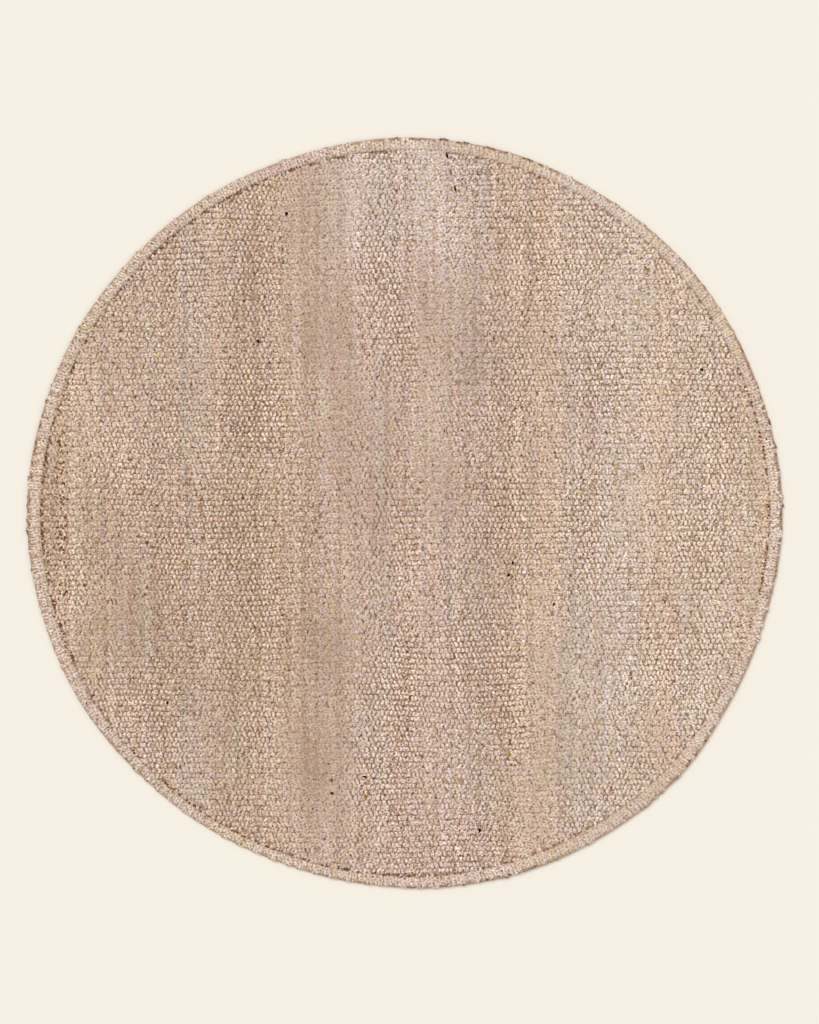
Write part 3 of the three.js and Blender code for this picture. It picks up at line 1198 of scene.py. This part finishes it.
def makeStitches():
    # A short stitch between two strands wherever the seam stands open enough: a half-round dash
    # that points across the seam, and closes at both ends. Its dark also stands in as painted shade of the
    # open seam.
    chance = np.random.default_rng(seed=14)
    count = strandCount()
    place = np.arange(count) + 0.5 + chance.normal(0, seam["pitchSpread"], count)
    bearing = fullTurn / count * place
    size = aroundRug(seamOpening, "open", bearing) * chance.uniform(0, seam["most"], count)
    kept = size > seam["least"]
    bearing, size = bearing[kept], perCopy(size[kept])
    lean = perCopy(chance.normal(seam["lean"], seam["leanSpread"], len(bearing)))
    along = np.linspace(-1, 1, seam["pointsAlong"])[None, :, None]
    turn = acrossStrand(seam["pointsAcross"])
    thin = (1 - along ** 2) ** 0.5
    inward = seam["halfLength"] * along * size
    aside = seam["halfWidth"] * thin * size * np.sin(turn) + lean * inward
    z = seam["height"] + seam["rise"] * (thin * np.cos(turn) - 1)
    stray = perCopy(chance.normal(0, seam["stray"], len(bearing)))
    radius = perCopy(seamAt(bearing)) - seam["inside"] - inward + stray
    points = pointsRound(radius, perCopy(bearing) + aside / rugRadius, z)
    faces = gridFaces(seam["pointsAlong"], seam["pointsAcross"], points.shape[0])
    return makePiece("seamStitchesAndShade", points.reshape(-1, 3), faces, [stitchThreadAndShade()])


# The floor and the light: the sky gives a share of full light, and the lamps give the rest.
stage = {
    "floor": (247, 241, 229),
    "floorHalf": 40.0,
    "skyShare": 0.5,
}

# Two suns. In degrees, tilt is from straight down, bearing turns the lamp about the vertical, and
# softness is how wide it looks from the floor.
lamps = {
    "keyLamp": {"share": 0.38, "tilt": 36, "bearing": 220, "softness": 35},
    "fillLamp": {"share": 0.12, "tilt": 35, "bearing": 60, "softness": 60},
}

# The camera.
view = {
    "lens": 85,                  # in millimetres, as is the sensor's long side
    "sensor": 36,
    "fill": 0.7347,              # the rug's width as a share of the picture's long side
    "right": 8.8 * mm,           # how far the camera stands from over the middle
    "up": 3.9 * mm,
    "farthest": 200,
}


def makeStage():
    # A plain floor, and a white sky that the camera sees in the floor's own colour.
    half = stage["floorHalf"]
    mesh = bpy.data.meshes.new("floor")
    corners = [(-half, -half, 0), (half, -half, 0), (half, half, 0), (-half, half, 0)]
    mesh.from_pydata(corners, [], [(0, 1, 2, 3)])
    shader = Shader("floorPaint", Roughness=1.0, Specular_IOR_Level=0.0)
    shader.wear("Base Color", paint(stage["floor"]))
    mesh.materials.append(shader.material)
    floor = bpy.data.objects.new("floor", mesh)
    bpy.context.scene.collection.objects.link(floor)
    world = bpy.data.worlds.new("softSky")
    bpy.context.scene.world = world
    world.use_nodes = True
    nodes, links = world.node_tree.nodes, world.node_tree.links
    sky = nodes["Background"]
    sky.inputs["Color"].default_value = (1, 1, 1, 1)
    sky.inputs["Strength"].default_value = stage["skyShare"]
    seen = nodes.new("ShaderNodeBackground")
    seen.inputs["Color"].default_value = paint(stage["floor"])
    mix = nodes.new("ShaderNodeMixShader")
    links.new(nodes.new("ShaderNodeLightPath").outputs["Is Camera Ray"], mix.inputs["Fac"])
    links.new(sky.outputs[0], mix.inputs[1])
    links.new(seen.outputs[0], mix.inputs[2])
    links.new(mix.outputs[0], nodes["World Output"].inputs["Surface"])
    print("floor and sky: ready")


def makeLamp(name, share, tilt, bearing, softness):
    # A sun that gives a level surface its share of full light.
    lamp = bpy.data.lights.new(name, "SUN")
    lamp.energy = share * np.pi / np.cos(np.radians(tilt))
    lamp.angle = np.radians(softness)
    holder = bpy.data.objects.new(name, lamp)
    holder.rotation_euler = (np.radians(tilt), 0, np.radians(bearing))
    bpy.context.scene.collection.objects.link(holder)
    print(f"{name}: ready")


def makeCamera():
    # Straight above the rug, with a long lens, as far away as makes the rug fill its share.
    camera = bpy.data.cameras.new("camera")
    camera.lens = view["lens"]
    camera.sensor_width = view["sensor"]
    camera.clip_end = view["farthest"]
    holder = bpy.data.objects.new("camera", camera)
    away = 2 * rugRadius / view["fill"] * view["lens"] / view["sensor"]
    holder.location = (view["right"], view["up"], away + bindingHeight / 2)
    bpy.context.scene.collection.objects.link(holder)
    bpy.context.scene.camera = holder
    print(f"camera: {away:.2f} m above the rug")


bpy.context.scene.view_settings.view_transform = "Standard"
makeCamera()
makeStage()
for lampName, lampSettings in lamps.items():
    makeLamp(lampName, **lampSettings)
clothPiece = makeCloth()
pebblePieces = makePebbles()
darkTufts = makeTufts()
core = makeCore()
wraps = makeWraps()
stitches = makeStitches()
